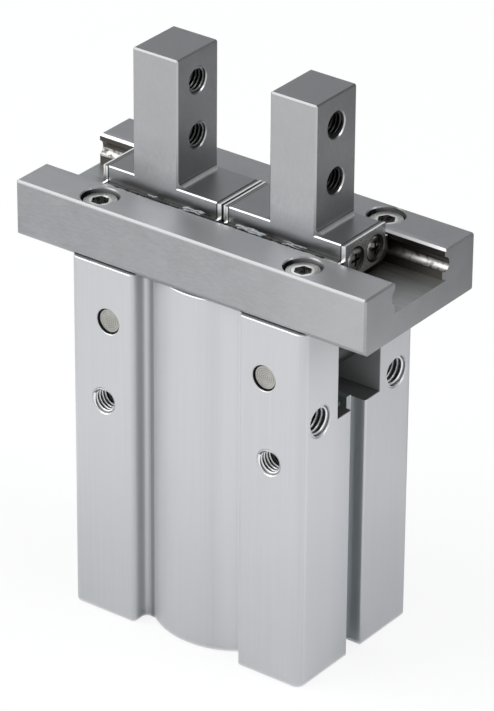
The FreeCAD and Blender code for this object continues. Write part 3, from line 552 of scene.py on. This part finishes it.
# Guide rail: hardened steel, ground all over to a fine satin, with its edges broken.
# The balls have rolled a bright band into each groove. The rest of the channel is darker, with streaks.
# Painted shade darkens its walls, its front wall by the fingers, the counterbores of the screws, the
# joint under the rail over the columns and the rear of the top. Painted highlights brighten the channel's
# lips and the top of the front and rear faces, and painted light the front face towards its right end.
def facing_on(made):
    """The way the piece's surface faces, as its shares along X, Y and Z."""
    face = made.node_tree.nodes.new("ShaderNodeNewGeometry")
    split = made.node_tree.nodes.new("ShaderNodeSeparateXYZ")
    made.node_tree.links.new(face.outputs["True Normal"], split.inputs[0])
    return split.outputs


rail_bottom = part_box("guide_rail")[0].z
rail_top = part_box("guide_rail")[1].z
just_under_top = rail_top - 0.00022
channel_reach = 0.0088
past_channel = 0.009
rail_side = 0.015
rail_edge = 0.016
travel_end_x = 0.027
fade_length = 0.010714
fullest_fade = 0.75
column_start_x = 0.0116
column_end_x = 0.0256
gap_shade_end_x = 0.0236
rail_screw_axis = (0.0224, 0.0125, 0)
counterbore_radius = 0.00355
rail_steel = finish("ground_rail_steel", (0.39, 0.397, 0.41), 0.37)
grain(rail_steel, (700, 3500, 3500), 0.3, 0.04, 0.3, patches=0.4)
rail_at = place_on(rail_steel)
rail_faces = facing_on(rail_steel)
off_middle = size_of(rail_steel, rail_at["Y"])
off_centre = size_of(rail_steel, rail_at["X"])
leaning = size_of(rail_steel, rail_faces["Y"])
endwards = size_of(rail_steel, rail_faces["X"])
facing_up = above(rail_steel, rail_faces["Z"], 0.9)
facing_across = above(rail_steel, leaning, 0.9)
past_travel = step(rail_steel, "SUBTRACT", off_centre, travel_end_x)

in_channel = all_of(rail_steel, below(rail_steel, off_middle, channel_reach),
                    below(rail_steel, rail_at["Z"], rail_top - 0.0004))
# Along the channel the steel is darker, less so past the balls' travel towards the ends, with darker
# streaks, and its floor grows lighter towards the ends.
along = all_of(rail_steel, in_channel, below(rail_steel, endwards, 0.3))
fading = step(rail_steel, "MULTIPLY", ramp(rail_steel, past_travel, 0.0, fade_length), fullest_fade)
darker_channel = step(rail_steel, "MULTIPLY", along, step(rail_steel, "SUBTRACT", 1.0, fading))
overlay(rail_steel, darker_channel, (0.21, 0.205, 0.19), 0.38)
streaks = all_of(rail_steel, along, blotches(rail_steel, (110, 1500, 1500), 0.35, 0.7))
overlay(rail_steel, streaks, (0.11, 0.1, 0.09), 0.42)
floor_end = all_of(rail_steel, in_channel, facing_up, ramp(rail_steel, past_travel, 0.0, 0.009))
overlay(rail_steel, floor_end, (0.46, 0.485, 0.48), 0.4, cover=0.7)
# Painted shade: the channel's walls are painted near black.
walls = all_of(rail_steel, along, above(rail_steel, leaning, 0.15))
overlay(rail_steel, walls, (0.09, 0.083, 0.075), 0.35)
rolled = all_of(rail_steel, along, above(rail_steel, leaning, 0.2), below(rail_steel, leaning, 0.995),
                above(rail_steel, rail_faces["Z"], 0.12), ramp(rail_steel, past_travel, 0.0005, 0.0065),
                blotches(rail_steel, (900, 900, 900), 0.35, 0.5))
overlay(rail_steel, rolled, (0.53, 0.52, 0.505), 0.38)

# Painted light: the front face is painted lighter towards its right end, and the rear face towards its
# left end.
rail_x_by_y = step(rail_steel, "MULTIPLY", rail_at["X"], rail_at["Y"])
front_right = all_of(rail_steel, facing_across, above(rail_steel, off_middle, rail_side),
                     ramp(rail_steel, off_centre, 0.012, 0.034), below(rail_steel, rail_x_by_y, 0.0))
overlay(rail_steel, front_right, (0.52, 0.527, 0.54), 0.4, cover=0.6)
groove_ends = all_of(rail_steel, in_channel, above(rail_steel, leaning, 0.5),
                     above(rail_steel, endwards, 0.5))
overlay(rail_steel, groove_ends, (0.22, 0.21, 0.21), 0.4)
# Painted shadow: the rail's underside chamfer over the columns is painted near black for the shaded joint.
joint_shade_under_edge = all_of(rail_steel, below(rail_steel, rail_faces["Z"], -0.3),
                         above(rail_steel, off_middle, 0.0155),
                         above(rail_steel, off_centre, column_start_x),
                         below(rail_steel, off_centre, column_end_x),
                         below(rail_steel, rail_at["Z"], rail_bottom + 0.00045))
overlay(rail_steel, joint_shade_under_edge, (0.03, 0.03, 0.03), 0.5)
# Painted shade: the counterbores are painted near black, their upper front and rear walls less dark.
from_rail_screw = from_axes(rail_steel, rail_screw_axis, (1, 1, 0))
counterbores = all_of(rail_steel, below(rail_steel, rail_at["Z"], just_under_top),
                      below(rail_steel, from_rail_screw, counterbore_radius))
overlay(rail_steel, counterbores, (0.03, 0.03, 0.03), 0.4)
counterbore_walls = all_of(rail_steel, counterbores, ramp(rail_steel, leaning, 0.35, 0.95),
                           above(rail_steel, rail_at["Z"], rail_top - 0.0012))
overlay(rail_steel, counterbore_walls, (0.27, 0.27, 0.272), 0.45)

front_top = all_of(rail_steel, facing_up, below(rail_steel, rail_at["Y"], -past_channel),
                   above(rail_steel, rail_at["Z"], just_under_top))
overlay(rail_steel, front_top, (0.415, 0.422, 0.435), 0.5, cover=0.7)
# Painted shade: the rear strip of the top is painted darker.
rear_top_shade = all_of(rail_steel, facing_up, above(rail_steel, rail_at["Y"], past_channel))
overlay(rail_steel, rear_top_shade, (0.31, 0.317, 0.33), 0.39, cover=0.6)
broken_edge = all_of(rail_steel, above(rail_steel, rail_faces["Z"], 0.4),
                     below(rail_steel, rail_faces["Z"], 0.95), above(rail_steel, leaning, 0.3),
                     above(rail_steel, rail_at["Z"], rail_top - 0.0008))
overlay(rail_steel, broken_edge, (0.2, 0.2, 0.205), 0.33)
# Painted highlight: the chamfers of the channel's lips are painted bright.
lip_highlight = all_of(rail_steel, broken_edge, below(rail_steel, off_middle, channel_reach))
overlay(rail_steel, lip_highlight, (0.6, 0.6, 0.6), 0.36)
# Painted highlight: the top of the front and rear faces is painted bright.
side_top_highlight = all_of(rail_steel, facing_across, above(rail_steel, off_middle, rail_edge),
                     above(rail_steel, rail_at["Z"], rail_top - 0.00055))
overlay(rail_steel, side_top_highlight, (0.56, 0.56, 0.57), 0.34)
# Painted shade: the channel's front wall beside the fingers is painted near black.
front_wall_shade = all_of(rail_steel, below(rail_steel, rail_at["Y"], 0.0),
                           above(rail_steel, rail_faces["Y"], 0.3),
                           below(rail_steel, off_centre, gap_shade_end_x))
overlay(rail_steel, front_wall_shade, (0.04, 0.04, 0.04), 0.5)
dress("guide_rail", rail_steel)


# Rail screws: four stainless socket heads, sunk a little below the rail's top and turned in fine rings.
# The lip of each hexagon socket is bright, and dark patches lie inside it.
screw_steel = finish("stainless_screw_steel", (0.52, 0.52, 0.51), 0.26)
grain(screw_steel, (2500, 2500, 2500), 0.1, 0.05, 0.15)
screw_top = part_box("rail_screw_front_right")[1].z
just_under_screw_top = screw_top - 0.00002
socket_reach = 0.0018
screw_at = place_on(screw_steel)
from_head = from_axes(screw_steel, rail_screw_axis, (1, 1, 0))
head_rings = turned_rings(screw_steel, from_head, closeness=12000.0)
head_marks = all_of(screw_steel, ramp(screw_steel, head_rings, -0.5, 1.0),
                    blotches(screw_steel, (500, 500, 500), 0.35, 0.55))
overlay(screw_steel, head_marks, (0.3, 0.3, 0.29), 0.3)
socket_lip = all_of(screw_steel, above(screw_steel, screw_at["Z"], just_under_screw_top),
                    ramp(screw_steel, from_head, 0.0023, 0.0019))
overlay(screw_steel, socket_lip, (0.78, 0.78, 0.77), 0.22)
in_socket = all_of(screw_steel, below(screw_steel, screw_at["Z"], just_under_screw_top),
                   below(screw_steel, from_head, socket_reach))
overlay(screw_steel, in_socket, (0.42, 0.412, 0.4), 0.3)
dark_patches_in_socket = all_of(screw_steel, in_socket, blotches(screw_steel, (1800, 1800, 1800), 0.46, 0.6))
overlay(screw_steel, dark_patches_in_socket, (0.045, 0.043, 0.042), 0.5)
for place in ("front_left", "front_right", "rear_left", "rear_right"):
    dress("rail_screw_" + place, screw_steel)


# Fingers: two steel blocks, ground like the rail, that run on balls in the channel.
# Each has two M5 holes through its prong, whose threads were cut after the grinding. The tops carry
# painted shade, the front and rear faces are painted darker at their feet and lighter up the prongs, the
# part inside the channel is painted dark as shade, and the edges are broken, with a painted highlight on
# two upright edges of each prong.
finger_steel = finish("ground_finger_steel", (0.405, 0.41, 0.42), 0.37)
grain(finger_steel, (2600, 2600, 1200), 0.28, 0.04, 0.3, patches=0.4)
finger_at = place_on(finger_steel)
finger_faces = facing_on(finger_steel)
facing_x = size_of(finger_steel, finger_faces["X"])
facing_y = size_of(finger_steel, finger_faces["Y"])
facing_z = size_of(finger_steel, finger_faces["Z"])
base_top = rail_top + 0.0031
base_line = rail_top + 0.001
foot_top = rail_top + 0.006
squarest = step(finger_steel, "MAXIMUM", step(finger_steel, "MAXIMUM", facing_x, facing_y), facing_z)

# Painted shade: the tops are painted darker.
finger_top_shade = above(finger_steel, finger_faces["Z"], 0.97)
overlay(finger_steel, finger_top_shade, (0.235, 0.24, 0.25), 0.36, cover=0.8)
# Painted shade: the front and rear faces are painted darker towards their feet.
foot_shade = all_of(finger_steel, above(finger_steel, facing_y, 0.9),
                   ramp(finger_steel, finger_at["Z"], foot_top, rail_top + 0.0025))
overlay(finger_steel, foot_shade, (0.295, 0.3, 0.31), 0.4, cover=0.75)
# Painted shade: the part inside the channel is painted dark.
shade_in_rail = below(finger_steel, finger_at["Z"], rail_top - 0.0005)
overlay(finger_steel, shade_in_rail, (0.12, 0.118, 0.115), 0.4)
on_prong = above(finger_steel, finger_at["Z"], base_top)
prong_or_long_edges = step(finger_steel, "MAXIMUM", on_prong, above(finger_steel, facing_y, 0.3))
broken_edges = all_of(finger_steel, below(finger_steel, squarest, 0.93), prong_or_long_edges,
                      above(finger_steel, finger_at["Z"], base_line))
overlay(finger_steel, broken_edges, (0.42, 0.42, 0.43), 0.28)
prong_edges = all_of(finger_steel, broken_edges, on_prong)
overlay(finger_steel, prong_edges, (0.2, 0.2, 0.205), 0.33)
# Painted light: the prongs' front and rear faces are painted lighter towards the top.
prong_side_light = all_of(finger_steel, above(finger_steel, facing_y, 0.98),
                    ramp(finger_steel, finger_at["Z"], foot_top, rail_top + 0.012))
overlay(finger_steel, prong_side_light, (0.48, 0.485, 0.495), 0.38, cover=0.6)
# Painted highlight: the front right and rear left upright edges of each prong are painted bright.
round_corner = step(finger_steel, "MULTIPLY", finger_faces["X"], finger_faces["Y"])
corner_highlight = all_of(finger_steel, prong_edges, below(finger_steel, round_corner, -0.2))
overlay(finger_steel, corner_highlight, (0.5, 0.5, 0.51), 0.33)
for node in ("finger_left", "finger_right"):
    dress(node, finger_steel)

cut_steel = finish("cut_steel", (0.33, 0.33, 0.325), 0.2, metallic=0.85)
grain(cut_steel, (9000, 9000, 9000), 0.08, 0.04, 0.1)
# The prongs' threads take the same painted shade on their crests, roots and deeper turns.
steel_thread = (cut_steel, thread_shade_metal, thread_shade_metal)
prong_inner_x = 0.0101
prong_width = 0.010
upper_hole_z = 0.10465
lower_hole_z = 0.0939
for side, word in ((1, "right"), (-1, "left")):
    for height, place in ((upper_hole_z, "upper"), (lower_hole_z, "lower")):
        tapped("finger_thread_" + place + "_" + word, (side * prong_inner_x, 0, height), (side, 0, 0),
               m5, prong_width, "finger_" + word, steel_thread, both_ends=True)


# Grease and painted shade between the fingers and the channel's front wall. A near-black string along
# the wall's edge, blacker in two places, is painted shade for the gap under the fingers. Pale lumps of
# fresh grease that the balls have pushed up lie in four places.
gap_shade_string = finish("gap_shade_string", (0.025, 0.024, 0.022), 0.4, metallic=0)
shader_of(gap_shade_string).inputs["Specular IOR Level"].default_value = 0.12
grain(gap_shade_string, (3500, 3500, 3500), 0.5, 0.1, 0.6, patches=0.2)
fresh_grease = finish("fresh_grease", (0.3, 0.32, 0.33), 0.22, metallic=0)
grain(fresh_grease, (4500, 4500, 4500), 0.6, 0.08, 0.8, patches=0.2)
chance = random.Random(7)
ring_points = 10
ring_spacing = 0.00012
wander_length = 0.0005
thinnest = 0.25
taper_rings = 8


def ragged_string(name, from_x, to_x, y, height, thick, wave, made):
    """A ragged string along X that wanders from side to side and thins out at its ends, for the lumps of
    fresh grease and for the dark strings of painted shade.
    """
    rings = round((to_x - from_x) / ring_spacing)
    swell = 0.7
    bend = chance.uniform(0, 2 * math.pi)
    points = []
    for ring in range(rings + 1):
        x = from_x + (to_x - from_x) * ring / rings
        swell = min(max(swell + chance.uniform(-0.25, 0.25), thinnest), 1.0)
        rings_to_tip = (1 - abs(2 * ring / rings - 1)) * rings
        size = thick * swell * min(1, rings_to_tip / taper_rings + 0.05)
        bend += ring_spacing / wander_length * chance.uniform(0.5, 1.5)
        middle_y = y + wave * math.sin(bend)
        middle_z = height + 0.6 * wave * math.cos(0.7 * bend)
        for point in range(ring_points):
            angle = 2 * math.pi * point / ring_points
            reach = size * chance.uniform(0.85, 1.0)
            points.append((x, middle_y + reach * math.cos(angle), middle_z + reach * math.sin(angle)))
    first_tip = tuple(range(ring_points))
    last_tip = tuple(range(len(points) - 1, len(points) - 1 - ring_points, -1))
    faces = [first_tip, last_tip]
    for ring in range(rings):
        here = ring * ring_points
        further = here + ring_points
        for point in range(ring_points):
            beside = (point + 1) % ring_points
            faces.append((here + beside, here + point, further + point, further + beside))
    mesh = bpy.data.meshes.new(name)
    mesh.from_pydata(points, [], faces)
    mesh.polygons.foreach_set("use_smooth", [True] * len(mesh.polygons))
    mesh.materials.append(made)
    string = bpy.data.objects.new(name, mesh)
    bpy.context.scene.collection.objects.link(string)
    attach(string, "root")


# Painted shade: a near-black string along the channel's front lip, with two thicker films of it.
ragged_string("gap_shade_line", -gap_shade_end_x, gap_shade_end_x, -0.00755, rail_top - 0.00012,
                 0.00028, 0.00004, gap_shade_string)
for word, from_x, to_x in (("left", -0.0162, -0.0108), ("right", 0.0012, 0.0064)):
    ragged_string("gap_shade_film_" + word, from_x, to_x, -0.00772, rail_top, 0.00026, 0.00007, gap_shade_string)
lumps = (("far_left", -0.0165, -0.0125, 0.00016), ("left", -0.0084, -0.0022, 0.00026),
         ("right", 0.0032, 0.0108, 0.0003), ("far_right", 0.0138, 0.0195, 0.00012))
lump_parts = (("front", -0.00765, 0.00008), ("middle", -0.0073, 0.00022), ("rear", -0.0069, 0.00012))
lump_wave = 0.00009
longest_cut = 0.0015
for place, from_x, to_x, thick in lumps:
    for part, y, height in lump_parts:
        ragged_string("grease_" + place + "_" + part, from_x + chance.uniform(0, longest_cut),
                         to_x - chance.uniform(0, longest_cut), y, rail_top + height,
                         thick, lump_wave, fresh_grease)


# End plates and ball stops: thin steel sheets screwed over both ends of each finger's base.
# Their sheared edges are bright, and a black seal sheet shows as a thin line between them and the base.
# The stops' tops are painted dark as shade. The raised screws of the plates have a painted highlight on
# their upper front edge and a painted shadow round their rim, and sit in countersinks painted dark as
# shade.
plate_steel = finish("end_plate_sheet", (0.42, 0.425, 0.43), 0.38)
grain(plate_steel, (2500, 2500, 2500), 0.45, 0.08, 0.5)
overlay(plate_steel, blotches(plate_steel, (3500, 3500, 3500), 0.45, 0.62), (0.25, 0.25, 0.25), 0.45)
plate_screw_axis = (0, 0.0029, rail_top - 0.00135)
countersink_radius = 0.0026
head_edge = 0.00213
# Painted shade: the countersinks round the plates' screws are painted near black.
countersink_shade = below(plate_steel, from_axes(plate_steel, plate_screw_axis, (0, 1, 1)), countersink_radius)
overlay(plate_steel, countersink_shade, (0.02, 0.02, 0.02), 0.4)
plate_facing_x = size_of(plate_steel, facing_on(plate_steel)["X"])
overlay(plate_steel, below(plate_steel, plate_facing_x, 0.9), (0.02, 0.02, 0.02), 0.4)
overlay(plate_steel, below(plate_steel, plate_facing_x, 0.2), (0.9, 0.9, 0.9), 0.42)

stop_steel = finish("ball_stop_sheet", (0.9, 0.9, 0.89), 0.42)
grain(stop_steel, (2500, 2500, 2500), 0.1, 0.05, 0.2)
stop_faces = facing_on(stop_steel)
stop_sheet = above(stop_steel, size_of(stop_steel, stop_faces["X"]), 0.5)
overlay(stop_steel, stop_sheet, (0.22, 0.22, 0.22), 0.3)
# Painted shade: the stops' tops between the base and the plate are painted dark.
stop_top_shade = all_of(stop_steel, above(stop_steel, stop_faces["Z"], 0.7),
                  above(stop_steel, place_on(stop_steel)["Z"], base_line))
overlay(stop_steel, stop_top_shade, (0.25, 0.255, 0.26), 0.38)

head_steel = finish("plate_screw_steel", (0.32, 0.32, 0.31), 0.12)
grain(head_steel, (3000, 3000, 3000), 0.4, 0.08, 0.35)
from_plate_screw = from_axes(head_steel, plate_screw_axis, (0, 1, 1))
head_faces = facing_on(head_steel)
# Painted shadow: a near-black ring round the rim of each screw head.
head_rim = above(head_steel, from_plate_screw, head_edge)
overlay(head_steel, head_rim, (0.02, 0.02, 0.02), 0.4)
# Painted highlight: a bright crescent on the upper front edge of each screw head.
up_and_forward = step(head_steel, "SUBTRACT", head_faces["Z"], head_faces["Y"])
crescent_highlight = all_of(head_steel, step(head_steel, "SUBTRACT", 1.0, head_rim),
                   ramp(head_steel, from_plate_screw, 0.0016, 0.0018),
                   ramp(head_steel, up_and_forward, 0.1, 0.4))
overlay(head_steel, crescent_highlight, (0.95, 0.95, 0.93), 0.22)

ball_steel = finish("polished_ball_steel", (0.7, 0.7, 0.72), 0.06)
grain(ball_steel, (2000, 2000, 2000), 0.02, 0.02, 0.02)
for word in ("left", "right"):
    for end in ("inner", "outer"):
        dress("end_plate_" + end + "_" + word, plate_steel)
        dress("ball_stop_" + end + "_" + word, stop_steel)
        dress("end_seal_" + end + "_" + word, rubber)
        dress("plate_screws_" + end + "_" + word, head_steel)
    dress("ball_row_front_" + word, ball_steel)
    dress("ball_row_rear_" + word, ball_steel)
